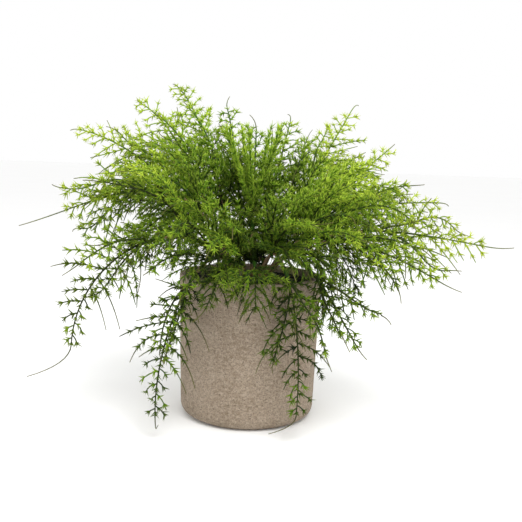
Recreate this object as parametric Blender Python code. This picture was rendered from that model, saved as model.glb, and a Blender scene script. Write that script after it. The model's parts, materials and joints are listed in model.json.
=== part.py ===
"""Artificial asparagus fern in a round moulded-pulp pot: nineteen wired stems in a head, each with sprays.

Metres, +Z up. The origin is the middle of the pot's underside. Azimuth 0 is +X, and 270 is the front (-Y).
"""

import math
from collections import namedtuple

import bmesh
import bpy
import numpy as np
from mathutils import Vector

MM = 0.001

# Driving dimensions
POT_HEIGHT = 110 * MM
POT_TOP_RADIUS = 55 * MM
POT_BASE_RADIUS = 52 * MM
POT_WALL = 6 * MM
POT_FLOOR = 8 * MM
POT_BASE_ROUND = 8 * MM
POT_RIM_ROUND = 2.4 * MM
BALLAST_HEIGHT = 12 * MM
SOIL_BELOW_RIM = 4.5 * MM
SOIL_THICKNESS = 6 * MM
STUB_RADIUS = 7 * MM
STUB_LENGTH = 42 * MM
HEAD_RADIUS = 20 * MM
HEAD_THICKNESS = 4.2 * MM
ROOT_RING_RADIUS = 15.5 * MM
ROOT_RADIUS = 1.3 * MM
STEM_RADIUS = 1.1 * MM
STEM_END_RADIUS = 0.9 * MM
SLEEVE_LENGTH = 8 * MM
COLLAR_LENGTH = 4 * MM
PLASTIC_WALL = 0.7 * MM
RIB_HALF = 0.75 * MM
RIB_TIP_HALF = 0.4 * MM
TWIG_HALF = 0.5 * MM
TWIG_TIP_HALF = 0.3 * MM

# Clearances
GAP = 0.3 * MM
STEM_CLEARANCE = 0.35 * MM
ROOT_CLEARANCE = 0.6 * MM
NEIGHBOUR_CLEARANCE = 1.2 * MM

# What follows from them
BALLAST_TOP = POT_FLOOR + GAP + BALLAST_HEIGHT
SOIL_TOP = POT_HEIGHT - SOIL_BELOW_RIM
SOIL_BOTTOM = SOIL_TOP - SOIL_THICKNESS
HEAD_BOTTOM = SOIL_TOP + GAP
HEAD_TOP = HEAD_BOTTOM + HEAD_THICKNESS
DIMPLE_RADIUS = ROOT_RADIUS + ROOT_CLEARANCE
DIMPLE_DEPTH = 1.2 * MM
ROOT_HEIGHT = HEAD_TOP - DIMPLE_DEPTH + ROOT_RADIUS + ROOT_CLEARANCE

# A side spray: where its collar sits as a share of the bare wire, the angle at which it leaves, its length
# and the angle by which its tip points below the horizontal.
Side = namedtuple("Side", "at rise length droop")

# The stems, counter-clockwise from the right. Angles in degrees and lengths in millimetres. A stem leaves
# the head at `rise` and its spray ends pointing `droop` below the horizontal; `out` and `pull` say how long
# it keeps those two directions. The tip lies `over` outside the pot's rim and `tip` above it, or above the
# table where `hangs` is set. `wire` is the share of the route that is bare stem, and `dip` and `lift` are how
# far the wire bends at the head.
Branch = namedtuple("Branch", "azimuth rise out droop pull over tip hangs wire dip lift side")
BRANCHES = (
    Branch(10, 58, 65, 2, 55, 111, 58, False, 0.42, 10, 14, Side(0.80, 62, 82, 0)),
    Branch(30, 55, 60, -38, 45, 83, 106, False, 0.42, 12, 10, Side(0.85, 30, 78, 22)),
    Branch(50, 58, 60, -52, 50, 90, 152, False, 0.44, 14, 8, Side(0.80, 34, 92, 10)),
    Branch(70, 68, 60, -52, 40, 42, 138, False, 0.40, 14, 6, Side(0.80, 40, 88, 30)),
    Branch(90, 76, 60, -56, 40, 8, 130, False, 0.36, 14, 5, Side(0.80, 44, 96, 40)),
    Branch(110, 72, 60, -40, 50, 30, 140, False, 0.38, 14, 5, Side(0.80, 38, 96, 34)),
    Branch(130, 64, 60, -22, 55, 62, 152, False, 0.42, 14, 7, Side(0.80, 36, 90, 20)),
    Branch(150, 60, 60, -12, 50, 67, 134, False, 0.44, 14, 8, Side(0.80, 30, 84, 26)),
    Branch(170, 58, 60, -6, 60, 96, 108, False, 0.44, 12, 10, Side(0.82, 26, 84, 30)),
    Branch(190, 72, 100, 22, 84, 126, 29, False, 0.46, 8, 8, Side(0.70, 44, 84, 26)),
    Branch(210, 58, 70, 90, 70, 86, 62, True, 0.42, 6, 14, Side(0.76, 60, 84, 14)),
    Branch(230, 56, 58, 94, 62, 42, 16, True, 0.36, 4, 14, Side(0.74, 62, 64, 22)),
    Branch(252, 48, 46, 30, 40, 46, 92, True, 0.40, 8, 14, Side(0.66, 62, 58, 10)),
    Branch(274, 44, 40, 56, 32, 22, 90, True, 0.42, 6, 14, None),
    Branch(297, 62, 62, 98, 76, 24, 16, True, 0.34, 3, 14, Side(0.66, 68, 62, 14)),
    Branch(317, 54, 56, 46, 45, 58, 62, True, 0.40, 8, 14, Side(0.70, 62, 70, 14)),
    Branch(334, 54, 62, 28, 60, 108, 0, False, 0.42, 8, 14, Side(0.74, 60, 84, 18)),
    Branch(352, 55, 65, 8, 80, 146, 26, False, 0.44, 8, 14, Side(0.72, 64, 76, 4)),
)
CENTRE_HEIGHT = 112 * MM
CENTRE_WIRE = 0.34
CENTRE_SPREAD = 0.05

SIDE_REACH = 0.94
FIRST_TWIG = 6 * MM
SIDE_FIRST_TWIG = 16 * MM
TWIG_SPACING = 10 * MM
TWIG_LENGTH = 29 * MM
SIDE_TWIG_LENGTH = 24 * MM
CENTRE_TWIG_LENGTH = 15 * MM
TWIG_ANGLE = math.radians(48)
TWIG_TAPER = 0.62
TWIG_DROOP = 0.12
NODE_LENGTH = 1.4 * MM

COLOURS = {
    "pulp": ((0.33, 0.27, 0.19), 0.95),
    "cement": ((0.35, 0.34, 0.32), 0.9),
    "foam": ((0.05, 0.13, 0.05), 0.95),
    "soil": ((0.008, 0.008, 0.01), 0.9),
    "head": ((0.03, 0.07, 0.015), 0.6),
    "wire_wrap": ((0.13, 0.075, 0.03), 0.8),
    "leaf": ((0.11, 0.21, 0.025), 0.55),
}


def clear_scene():
    for obj in list(bpy.data.objects):
        bpy.data.objects.remove(obj)


def material(name, base):
    colour, roughness = COLOURS[base]
    made = bpy.data.materials.new(name)
    made.use_nodes = True
    made.diffuse_color = (*colour, 1)
    shader = made.node_tree.nodes["Principled BSDF"]
    shader.inputs["Base Color"].default_value = (*colour, 1)
    shader.inputs["Roughness"].default_value = roughness
    shader.inputs["Metallic"].default_value = 0
    return made


def finish(name, bm, base, parent=None):
    """Makes an object of the mesh, with its origin at its parent's, and gives it a material of its own."""
    bmesh.ops.recalc_face_normals(bm, faces=bm.faces)
    if parent:
        bmesh.ops.translate(bm, verts=bm.verts, vec=-parent.location)
    mesh = bpy.data.meshes.new(name)
    bm.to_mesh(mesh)
    bm.free()
    mesh.shade_smooth()
    mesh.set_sharp_from_angle(angle=math.radians(35))
    obj = bpy.data.objects.new(name, mesh)
    obj.data.materials.append(material(name + "_finish", base))
    bpy.context.scene.collection.objects.link(obj)
    obj.parent = parent
    return obj


# Turned pieces


def arc(centre, radius, start, end, steps):
    """Points (r, z) on an arc whose angles are in degrees from +r towards +z."""
    angles = np.radians(np.linspace(start, end, steps + 1))
    return [(centre[0] + radius * math.cos(a), centre[1] + radius * math.sin(a)) for a in angles]


def turned(profile, sides, closed=False):
    """The mesh of a profile (r, z) spun about the Z axis. A closed profile makes a ring."""
    bm = bmesh.new()
    points = [bm.verts.new((r, 0, z)) for r, z in profile]
    ends = points[1:] + points[:1] if closed else points[1:]
    edges = [bm.edges.new(pair) for pair in zip(points, ends)]
    bmesh.ops.spin(
        bm,
        geom=points + edges,
        cent=(0, 0, 0),
        axis=(0, 0, 1),
        angle=2 * math.pi,
        steps=sides,
        use_merge=True,
    )
    bmesh.ops.remove_doubles(bm, verts=bm.verts, dist=1e-6)
    return bm


def pot_inner_radius(height):
    """The inside radius of the pot's tapered wall at a height."""
    share = height / POT_HEIGHT
    return POT_BASE_RADIUS + (POT_TOP_RADIUS - POT_BASE_RADIUS) * share - POT_WALL


def pot_profile():
    outer = arc((POT_BASE_RADIUS - POT_BASE_ROUND, POT_BASE_ROUND), POT_BASE_ROUND, -90, 0, 4)
    rim_z = POT_HEIGHT - POT_RIM_ROUND
    rim = arc((POT_TOP_RADIUS - POT_RIM_ROUND, rim_z), POT_RIM_ROUND, 0, 90, 3)
    lip = arc((POT_TOP_RADIUS - POT_WALL + POT_RIM_ROUND, rim_z), POT_RIM_ROUND, 90, 180, 3)
    return [(0, 0), *outer, *rim, *lip, (pot_inner_radius(POT_FLOOR), POT_FLOOR), (0, POT_FLOOR)]


def make_pot():
    return finish("pot", turned(pot_profile(), 48), "pulp")


def make_ballast():
    bottom = POT_FLOOR + GAP
    profile = [
        (0, bottom),
        (pot_inner_radius(bottom) - 2 * GAP, bottom),
        (pot_inner_radius(BALLAST_TOP) - 2 * GAP, BALLAST_TOP),
        (0, BALLAST_TOP),
    ]
    return finish("ballast_disc", turned(profile, 32), "cement")


def make_foam():
    """A dry-foam plug with a bore in its top for the head's stub."""
    bottom, top = BALLAST_TOP + GAP, SOIL_BOTTOM - GAP
    bore = STUB_RADIUS + GAP
    bore_floor = HEAD_BOTTOM - STUB_LENGTH - GAP
    profile = [
        (0, bottom),
        (pot_inner_radius(bottom) - 2 * GAP, bottom),
        (pot_inner_radius(top) - 2 * GAP, top),
        (bore, top),
        (bore, bore_floor),
        (0, bore_floor),
    ]
    return finish("foam_plug", turned(profile, 32), "foam")


def make_soil():
    """A black cover disc, heaped slightly, with a hole for the stub."""
    hole = STUB_RADIUS + GAP
    edge_drop = 1.5 * MM
    profile = [
        (hole, SOIL_BOTTOM),
        (pot_inner_radius(SOIL_BOTTOM) - 2 * GAP, SOIL_BOTTOM),
        (pot_inner_radius(SOIL_TOP) - 2 * GAP, SOIL_TOP - edge_drop),
        (HEAD_RADIUS + edge_drop, SOIL_TOP),
        (hole, SOIL_TOP),
    ]
    return finish("soil_cover", turned(profile, 32, closed=True), "soil")


def root_places():
    """(x, y) of each stem's root: one in the middle of the head and the rest on a ring."""
    ring = [(math.cos(a), math.sin(a)) for a in (math.radians(b.azimuth) for b in BRANCHES)]
    return [(0, 0)] + [(ROOT_RING_RADIUS * x, ROOT_RING_RADIUS * y) for x, y in ring]


def make_head():
    """The moulded head: a stub, a disc and one dimple for each stem's root."""
    chamfer = 1.2 * MM
    stub_end = HEAD_BOTTOM - STUB_LENGTH
    profile = [
        (0, stub_end),
        (STUB_RADIUS - chamfer, stub_end),
        (STUB_RADIUS, stub_end + chamfer),
        (STUB_RADIUS, HEAD_BOTTOM),
        (HEAD_RADIUS, HEAD_BOTTOM),
        (HEAD_RADIUS, HEAD_TOP - chamfer),
        (HEAD_RADIUS - chamfer, HEAD_TOP),
        (0, HEAD_TOP),
    ]
    head = finish("bush_head", turned(profile, 36), "head")
    cutter_mesh = bmesh.new()
    for x, y in root_places():
        made = bmesh.ops.create_cone(
            cutter_mesh,
            cap_ends=True,
            segments=8,
            radius1=DIMPLE_RADIUS,
            radius2=DIMPLE_RADIUS,
            depth=2 * DIMPLE_DEPTH,
        )
        bmesh.ops.translate(cutter_mesh, verts=made["verts"], vec=(x, y, HEAD_TOP))
    cutter = finish("dimple_cutter", cutter_mesh, "head")
    cutter.hide_render = True
    cutter.display_type = "WIRE"
    dimples = head.modifiers.new("dimples", "BOOLEAN")
    dimples.operation = "DIFFERENCE"
    dimples.solver = "EXACT"
    dimples.object = cutter
    return head


# Routes of the stems and sprays


class Route:
    """A cubic curve in the vertical plane of one azimuth, read by the distance along it."""

    SAMPLES = 80

    def __init__(self, azimuth, points):
        self.outward = Vector((math.cos(math.radians(azimuth)), math.sin(math.radians(azimuth)), 0))
        t = np.linspace(0, 1, self.SAMPLES + 1)[:, None]
        a, b, c, d = (np.array(p) for p in points)
        self.curve = (1 - t) ** 3 * a + 3 * (1 - t) ** 2 * t * b + 3 * (1 - t) * t**2 * c + t**3 * d
        steps = np.linalg.norm(np.diff(self.curve, axis=0), axis=1)
        self.distances = np.concatenate([[0], np.cumsum(steps)])
        self.length = float(self.distances[-1])

    def flat(self, distance):
        """(r, z) at a distance, carried on straight past either end."""
        inside = min(max(distance, 0), self.length)
        place = np.array([np.interp(inside, self.distances, self.curve[:, k]) for k in (0, 1)])
        return place + (distance - inside) * self.flat_direction(inside)

    def flat_direction(self, distance):
        step = self.length / self.SAMPLES
        inside = min(max(distance, 0), self.length)
        low, high = max(inside - step, 0), min(inside + step, self.length)
        ends = [[np.interp(s, self.distances, self.curve[:, k]) for k in (0, 1)] for s in (low, high)]
        run = np.subtract(ends[1], ends[0])
        return run / np.linalg.norm(run)

    def lift(self, flat):
        return self.outward * float(flat[0]) + Vector((0, 0, float(flat[1])))

    def point(self, distance):
        return self.lift(self.flat(distance))

    def direction(self, distance):
        return self.lift(self.flat_direction(distance))

    def above(self, distance):
        """The direction across the route that points up in its plane."""
        r, z = self.flat_direction(distance)
        return self.lift((-z, r))


def heading(angle):
    """The (r, z) direction at an angle above the horizontal, in degrees."""
    return np.array([math.cos(math.radians(angle)), math.sin(math.radians(angle))])


def stem_route(branch):
    start = np.array([ROOT_RING_RADIUS, ROOT_HEIGHT])
    ground = 0 if branch.hangs else POT_HEIGHT
    end = np.array([POT_TOP_RADIUS + branch.over * MM, ground + branch.tip * MM])
    leave = start + branch.out * MM * heading(branch.rise)
    arrive = end - branch.pull * MM * heading(-branch.droop)
    return Route(branch.azimuth, (start, leave, arrive, end))


def collar_place(branch, stem):
    """The distance along the stem of the collar's middle, which stays clear of the sleeve."""
    return branch.side.at * (branch.wire * stem.length - SLEEVE_LENGTH - COLLAR_LENGTH)


def side_route(branch, stem, start_offset):
    """The route of a side spray, from the outside of its collar."""
    side = branch.side
    at = collar_place(branch, stem)
    across = start_offset if rises_above(branch, stem) else -start_offset
    tangent = stem.flat_direction(at)
    start = stem.flat(at) + across * np.array([-tangent[1], tangent[0]])
    first, last = heading(side.rise), heading(-side.droop)
    length = side.length * MM
    middle = (first + last) / np.linalg.norm(first + last)
    end = start + SIDE_REACH * length * middle
    return Route(branch.azimuth, (start, start + first * length / 3, end - last * length / 3, end))


def rises_above(branch, stem):
    """Whether the side spray leaves from the stem's upper side."""
    tangent = stem.flat_direction(collar_place(branch, stem))
    return branch.side.rise > math.degrees(math.atan2(tangent[1], tangent[0]))


# What keeps the branches apart: each stays inside a wedge between its neighbours, however far it is bent.


class Wedge:
    def __init__(self, index):
        azimuths = [b.azimuth for b in BRANCHES]
        here = azimuths[index]
        after = (azimuths[(index + 1) % len(azimuths)] - here) % 360
        before = (here - azimuths[index - 1]) % 360
        self.branch = BRANCHES[index]
        self.outward = Vector((math.cos(math.radians(here)), math.sin(math.radians(here)), 0))
        self.sideways = Vector((-self.outward.y, self.outward.x, 0))
        self.left = math.tan(math.radians(after / 2))
        self.right = math.tan(math.radians(before / 2))

    def least_reach(self, r, z):
        """The smallest distance from the axis that a point has as the stem bends at its root."""
        dr, dz = r - ROOT_RING_RADIUS, z - ROOT_HEIGHT
        bends = [math.radians(a) for a in (-self.branch.dip, 0, self.branch.lift)]
        return ROOT_RING_RADIUS + min(dr * math.cos(a) - dz * math.sin(a) for a in bends)

    def keep(self, point):
        """The point, moved sideways into the wedge if it lies outside."""
        r, across = point.dot(self.outward), point.dot(self.sideways)
        reach = self.least_reach(r, point.z)
        left = max(reach * self.left - NEIGHBOUR_CLEARANCE, 0)
        right = max(reach * self.right - NEIGHBOUR_CLEARANCE, 0)
        kept = min(max(across, -right), left)
        return point + self.sideways * (kept - across)


class Cone:
    """The space of the centre spray, which the leaning stems leave free."""

    def keep(self, point):
        height = point.z - ROOT_HEIGHT
        widest = ROOT_RING_RADIUS / 2 + CENTRE_SPREAD * height
        out = Vector((point.x, point.y, 0))
        if out.length > widest:
            out *= widest / out.length
        return Vector((out.x, out.y, point.z))


# Stems and sprays


def corners(point, along, above, half):
    """A square across a direction, its corners ordered so that its face looks along it."""
    side = along.cross(above).normalized()
    signs = ((1, -1), (-1, -1), (-1, 1), (1, 1))
    return [point + half * (a * side + b * above) for a, b in signs]


def grow(bm, face, places):
    """Extrudes a four-sided face, puts its end on four places and gives back that end."""
    end = bmesh.ops.extrude_discrete_faces(bm, faces=[face])["faces"][0]
    verts = list(end.verts)
    turns = [places[k:] + places[:k] for k in range(4)]
    best = min(turns, key=lambda turn: sum((v.co - place).length for v, place in zip(verts, turn)))
    for vert, place in zip(verts, best):
        vert.co = place
    return end


def sides_of(end):
    """The faces that the last extrusion made round this end."""
    return [face for edge in end.edges for face in edge.link_faces if face is not end]


def face_towards(faces, centre, direction):
    return max(faces, key=lambda face: (face.calc_center_median() - centre).dot(direction))


def make_stem(name, route, length, parent):
    """A six-sided wire stem: a round root at the pivot and a long taper to its end."""
    sides = 6
    root = [(ROOT_RADIUS * along, ROOT_RADIUS * wide) for along, wide in ((-0.8, 0.55), (-0.3, 1), (0.6, 1))]
    stations = 8
    shaft = np.linspace(3 * ROOT_RADIUS, length, stations).tolist()
    taper = np.linspace(STEM_RADIUS, STEM_END_RADIUS, stations).tolist()
    bm = bmesh.new()
    rings = []
    for distance, radius in root + list(zip(shaft, taper)):
        above = route.above(distance)
        side = route.direction(distance).cross(above)
        centre = route.point(distance)
        angles = [2 * math.pi * k / sides for k in range(sides)]
        rim = [centre + radius * (math.cos(a) * side + math.sin(a) * above) for a in angles]
        rings.append([bm.verts.new(place) for place in rim])
    for low, high in zip(rings, rings[1:]):
        for k in range(sides):
            bm.faces.new((low[k], low[(k + 1) % sides], high[(k + 1) % sides], high[k]))
    bm.faces.new(rings[0])
    bm.faces.new(rings[-1])
    return finish(name, bm, "wire_wrap", parent)


def sleeve(bm, route, start, end):
    """A socket over the stem's end. It gives back the solid end face that the rib grows from."""
    bore = STEM_RADIUS + STEM_CLEARANCE
    half = bore + PLASTIC_WALL
    places = [corners(route.point(s), route.direction(s), route.above(s), half) for s in (start, end)]
    back, front = ([bm.verts.new(place) for place in ring] for ring in places)
    tail = bm.faces.new(reversed(back))
    tip = bm.faces.new(front)
    for k in range(4):
        bm.faces.new((back[k], back[(k + 1) % 4], front[(k + 1) % 4], front[k]))
    bmesh.ops.inset_individual(bm, faces=[tail], thickness=PLASTIC_WALL)
    floor = end - 2 * PLASTIC_WALL
    grow(bm, tail, corners(route.point(floor), -route.direction(floor), route.above(floor), bore))
    return tip


def collar(bm, route, middle, upwards):
    """A ring threaded on the stem. It gives back the side face that the rib grows from."""
    bore = STEM_RADIUS + STEM_CLEARANCE
    rings = []
    for s in (middle - COLLAR_LENGTH / 2, middle + COLLAR_LENGTH / 2):
        for half in (bore + PLASTIC_WALL, bore):
            places = corners(route.point(s), route.direction(s), route.above(s), half)
            rings.append([bm.verts.new(place) for place in places])
    outer_a, inner_a, outer_b, inner_b = rings
    walls = []
    for k in range(4):
        n = (k + 1) % 4
        walls.append(bm.faces.new((outer_a[k], outer_a[n], outer_b[n], outer_b[k])))
        bm.faces.new((inner_a[n], inner_a[k], inner_b[k], inner_b[n]))
        bm.faces.new((outer_a[n], outer_a[k], inner_a[k], inner_a[n]))
        bm.faces.new((outer_b[k], outer_b[n], inner_b[n], inner_b[k]))
    direction = route.above(middle) * (1 if upwards else -1)
    return face_towards(walls, route.point(middle), direction)


def twig(bm, face, root, along, outward, length, space):
    """A side branchlet that leaves the rib at the twig angle and droops slightly."""
    direction = along * math.cos(TWIG_ANGLE) + outward * math.sin(TWIG_ANGLE)
    for share, half in ((0.5, TWIG_HALF), (1.0, TWIG_TIP_HALF)):
        droop = Vector((0, 0, -TWIG_DROOP * length * share**2))
        place = space.keep(root + direction * length * share + droop)
        above = direction.cross(along.cross(outward)).normalized()
        face = grow(bm, face, corners(place, direction, above, half))


def rib(bm, face, route, start, twig_length, first_twig, ways, space):
    """The green rib from a distance along its route to the end, with a twig at every node.

    ways: for each twig in turn, how far (sideways, up) it points.
    """
    run = route.length - start
    count = max(int((run - first_twig) / TWIG_SPACING), 3)
    nodes = [start + first_twig + k * (run - first_twig - 2 * NODE_LENGTH) / count for k in range(count)]
    for k, node in enumerate(nodes):
        share = (node - start) / run
        half = RIB_HALF + (RIB_TIP_HALF - RIB_HALF) * share
        for s in (node - NODE_LENGTH / 2, node + NODE_LENGTH / 2):
            face = grow(bm, face, corners(route.point(s), route.direction(s), route.above(s), half))
        along, above = route.direction(node), route.above(node)
        sideways, up = ways[k % len(ways)]
        outward = (along.cross(above) * sideways + above * up).normalized()
        side_face = face_towards(sides_of(face), route.point(node), outward)
        length = twig_length * (1 - TWIG_TAPER * share)
        twig(bm, side_face, route.point(node), along, outward, length, space)
    end = route.length
    grow(bm, face, corners(route.point(end), route.direction(end), route.above(end), RIB_TIP_HALF))


SIDE_TO_SIDE = ((1, -0.15), (-1, -0.15))
AND_DOWN = ((1, -0.25), (-1, -0.25), (0.25, -1))
AND_UP = ((1, 0.3), (-1, 0.3), (0.25, 1))


def make_branch(index):
    """One stem with its sprays, under an empty at the point where its wire bends."""
    branch = BRANCHES[index]
    number = f"{index + 1:02d}"
    route = stem_route(branch)
    pivot = bpy.data.objects.new("bend_" + number, None)
    pivot.empty_display_size = 5 * MM
    pivot.location = route.point(0)
    bpy.context.scene.collection.objects.link(pivot)
    space = Wedge(index)
    stem_length = branch.wire * route.length
    make_stem("stem_" + number, route, stem_length, pivot)
    side_above = branch.side is not None and rises_above(branch, route)
    bm = bmesh.new()
    sleeve_end = stem_length + 2 * PLASTIC_WALL + GAP
    face = sleeve(bm, route, sleeve_end - SLEEVE_LENGTH, sleeve_end)
    ways = AND_DOWN if side_above or branch.side is None else SIDE_TO_SIDE
    rib(bm, face, route, sleeve_end, TWIG_LENGTH, FIRST_TWIG, ways, space)
    finish("spray_" + number, bm, "leaf", pivot)
    if branch.side is None:
        return
    bm = bmesh.new()
    face = collar(bm, route, collar_place(branch, route), side_above)
    offset = STEM_RADIUS + STEM_CLEARANCE + PLASTIC_WALL
    side = side_route(branch, route, offset)
    ways = AND_UP if side_above else AND_DOWN
    rib(bm, face, side, 0, SIDE_TWIG_LENGTH, SIDE_FIRST_TWIG, ways, space)
    finish("side_spray_" + number, bm, "leaf", pivot)


def make_centre():
    """The upright spray in the middle of the head."""
    route = Route(270, [(0, ROOT_HEIGHT + share * CENTRE_HEIGHT) for share in (0, 1 / 3, 2 / 3, 1)])
    pivot = bpy.data.objects.new("bend_centre", None)
    pivot.empty_display_size = 5 * MM
    pivot.location = route.point(0)
    bpy.context.scene.collection.objects.link(pivot)
    stem_length = CENTRE_WIRE * route.length
    make_stem("stem_centre", route, stem_length, pivot)
    bm = bmesh.new()
    sleeve_end = stem_length + 2 * PLASTIC_WALL + GAP
    face = sleeve(bm, route, sleeve_end - SLEEVE_LENGTH, sleeve_end)
    ways = ((1, 0.2), (-1, 0.2), (0.2, 1), (-0.2, -1))
    rib(bm, face, route, sleeve_end, CENTRE_TWIG_LENGTH, FIRST_TWIG, ways, Cone())
    finish("spray_centre", bm, "leaf", pivot)


clear_scene()
make_pot()
make_ballast()
make_foam()
make_soil()
make_head()
for branch_index in range(len(BRANCHES)):
    make_branch(branch_index)
make_centre()
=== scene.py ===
"""Artificial asparagus fern in a moulded-pulp pot: the finished model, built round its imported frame.

Metres, +Z up, origin in the middle of the pot's underside, front at -Y.
"""

import json
import math
from collections import namedtuple

import bpy
import numpy as np
from mathutils import Matrix, Vector


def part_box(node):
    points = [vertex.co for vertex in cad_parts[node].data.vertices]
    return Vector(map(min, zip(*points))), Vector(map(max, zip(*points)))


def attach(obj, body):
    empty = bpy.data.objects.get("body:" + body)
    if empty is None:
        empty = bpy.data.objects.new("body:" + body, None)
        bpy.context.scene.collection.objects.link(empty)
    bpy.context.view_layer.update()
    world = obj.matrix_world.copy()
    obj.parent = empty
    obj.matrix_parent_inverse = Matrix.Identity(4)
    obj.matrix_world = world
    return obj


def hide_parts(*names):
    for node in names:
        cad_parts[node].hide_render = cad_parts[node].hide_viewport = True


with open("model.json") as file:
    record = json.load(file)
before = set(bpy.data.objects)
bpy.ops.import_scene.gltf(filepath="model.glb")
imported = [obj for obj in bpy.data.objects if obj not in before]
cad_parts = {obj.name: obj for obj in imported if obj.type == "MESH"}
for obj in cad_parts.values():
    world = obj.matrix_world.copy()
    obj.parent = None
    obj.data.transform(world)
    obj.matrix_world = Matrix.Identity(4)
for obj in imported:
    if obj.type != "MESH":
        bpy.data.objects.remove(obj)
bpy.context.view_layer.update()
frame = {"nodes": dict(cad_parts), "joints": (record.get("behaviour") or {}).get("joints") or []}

MM = 0.001


# Camera, floor and light
# A long-lens studio view from just above the rim, tilted a little to the side. The floor is a pale flat
# plane, lit by one large soft light above the front, a weaker one on each side and a white surround.

camera_place = Vector((0.0077, -0.575, 0.198))
camera_pitch = math.radians(7.75)
camera_roll = math.radians(2.0)
bpy.ops.object.camera_add(location=camera_place)
camera = bpy.context.object
camera.name = "studio_camera"
aim = Matrix.Rotation(math.pi / 2 - camera_pitch, 4, "X") @ Matrix.Rotation(camera_roll, 4, "Z")
camera.matrix_world = Matrix.Translation(camera_place) @ aim
camera.data.lens = 51.4
camera.data.sensor_width = 36
bpy.context.scene.camera = camera


class Shade:
    """A socket in a material's nodes that takes part in sums."""

    def __init__(self, tree, socket=None):
        self.tree, self.socket = tree, socket

    def node(self, kind, settings=None, inputs=None, out=0):
        """A new node, from its settings and the values or links of its sockets. It gives back one output."""
        made = self.tree.nodes.new("ShaderNode" + kind)
        for key, value in (settings or {}).items():
            if key == "stops":
                ramp = made.color_ramp
                while len(ramp.elements) < len(value):
                    ramp.elements.new(0.5)
                for element, (position, colour) in zip(ramp.elements, value):
                    element.position, element.color = position, (*colour, 1)
            else:
                setattr(made, key, value)
        for key, value in (inputs or {}).items():
            if isinstance(value, Shade):
                self.tree.links.new(value.socket, made.inputs[key])
            else:
                made.inputs[key].default_value = value
        return Shade(self.tree, made.outputs[out])

    def maths(self, operation, *values, clamp=False):
        return self.node("Math", {"operation": operation, "use_clamp": clamp}, dict(enumerate(values)))

    def __add__(self, other):
        return self.maths("ADD", self, other)

    def __sub__(self, other):
        return self.maths("SUBTRACT", self, other)

    def __rsub__(self, other):
        return self.maths("SUBTRACT", other, self)

    def __mul__(self, other):
        return self.maths("MULTIPLY", self, other)

    __radd__, __rmul__ = __add__, __mul__

    def between(self, low, high):
        """0 at low, 1 at high and straight between."""
        return self.node("MapRange", None, {0: self, 1: low, 2: high}, out=0)

    def mix(self, first, second):
        """The first colour where this is 0 and the second where it is 1."""
        return self.node("Mix", {"data_type": "RGBA"}, {0: self, 6: first, 7: second}, out=2)

    def noise(self, scale, detail=3, roughness=0.5, stretch=None):
        """Noise on this vector; stretch scales the vector first."""
        vector = self
        if stretch:
            vector = self.node("VectorMath", {"operation": "MULTIPLY"}, {0: self, 1: stretch})
        return vector.node("TexNoise", None, {"Vector": vector, "Scale": scale, "Detail": detail,
                                              "Roughness": roughness})


def material(name, colour, roughness):
    """A Principled material of one colour and roughness, its shader, and its Object coordinates."""
    made = bpy.data.materials.new(name)
    made.use_nodes = True
    shader = made.node_tree.nodes["Principled BSDF"]
    shader.inputs["Base Color"].default_value = (*colour, 1)
    shader.inputs["Roughness"].default_value = roughness
    place = Shade(made.node_tree).node("TexCoord", out="Object")
    return made, shader, place


def wire(shader, socket, value):
    """Links an expression to a socket of the shader."""
    value.tree.links.new(value.socket, shader.inputs[socket])


def bump(shader, height, distance, strength=1.0):
    """Raises the surface by a height expression of 0 to 1, times a distance in metres."""
    raised = height.node("Bump", None, {"Height": height, "Distance": distance, "Strength": strength})
    wire(shader, "Normal", raised)


floor_size = 30.0
floor_drop = 0.4 * MM
floor_colour = (0.96, 0.96, 0.955)
bpy.ops.mesh.primitive_plane_add(size=floor_size, location=(0, 0, -floor_drop))
floor = bpy.context.object
floor.name = "studio_floor"
floor_finish, floor_shader, floor_place = material("studio_floor_paper", floor_colour, 0.75)
paper_shade = floor_place.noise(3.0).between(0.2, 0.8)
wire(floor_shader, "Base Color", paper_shade.mix((0.955, 0.955, 0.95, 1), (0.975, 0.975, 0.97, 1)))
floor.data.materials.append(floor_finish)

world = bpy.data.worlds.new("studio_surround")
world.use_nodes = True
world.node_tree.nodes["Background"].inputs["Color"].default_value = (1, 1, 1, 1)
world.node_tree.nodes["Background"].inputs["Strength"].default_value = 1.0
bpy.context.scene.world = world
bpy.context.scene.view_settings.view_transform = "Standard"

# The name, the place, the size and the power of each, all turned to the middle of the plant.
lamp_target = Vector((0, 0, 0.12))
lights = (
    ("overhead", (0.20, -0.55, 1.05), 0.5, 9.0),
    ("left_fill", (-1.0, -0.6, 0.55), 0.7, 0.8),
    ("right_fill", (1.0, -0.7, 0.5), 0.7, 0.8),
)
for light_name, spot, size, watts in lights:
    bpy.ops.object.light_add(type="AREA", location=spot)
    lamp = bpy.context.object
    lamp.name = light_name
    lamp.data.size = size
    lamp.data.energy = watts
    lamp.rotation_euler = (lamp_target - Vector(spot)).to_track_quat("-Z", "Y").to_euler()


# Pot
# A hollow shell moulded from paper pulp with a cement look: slightly wider at the top, with a rounded foot
# and rim. The dried pulp is matt and uneven, with fine dark and light specks and short fibres.

def select_none():
    bpy.ops.object.select_all(action="DESELECT")


def edit(obj, mode):
    """Opens one object in edit mode with nothing selected, so that the next lines pick what they need."""
    select_none()
    bpy.context.view_layer.objects.active = obj
    obj.select_set(True)
    bpy.ops.object.mode_set(mode="EDIT")
    bpy.ops.mesh.select_mode(type=mode)
    bpy.ops.mesh.select_all(action="DESELECT")
    bpy.ops.object.mode_set(mode="OBJECT")


def pick(elements, test):
    """Selects the vertices, edges or faces that pass a test, and goes into edit mode."""
    for element in elements:
        element.select = bool(test(element))
    bpy.ops.object.mode_set(mode="EDIT")


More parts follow.
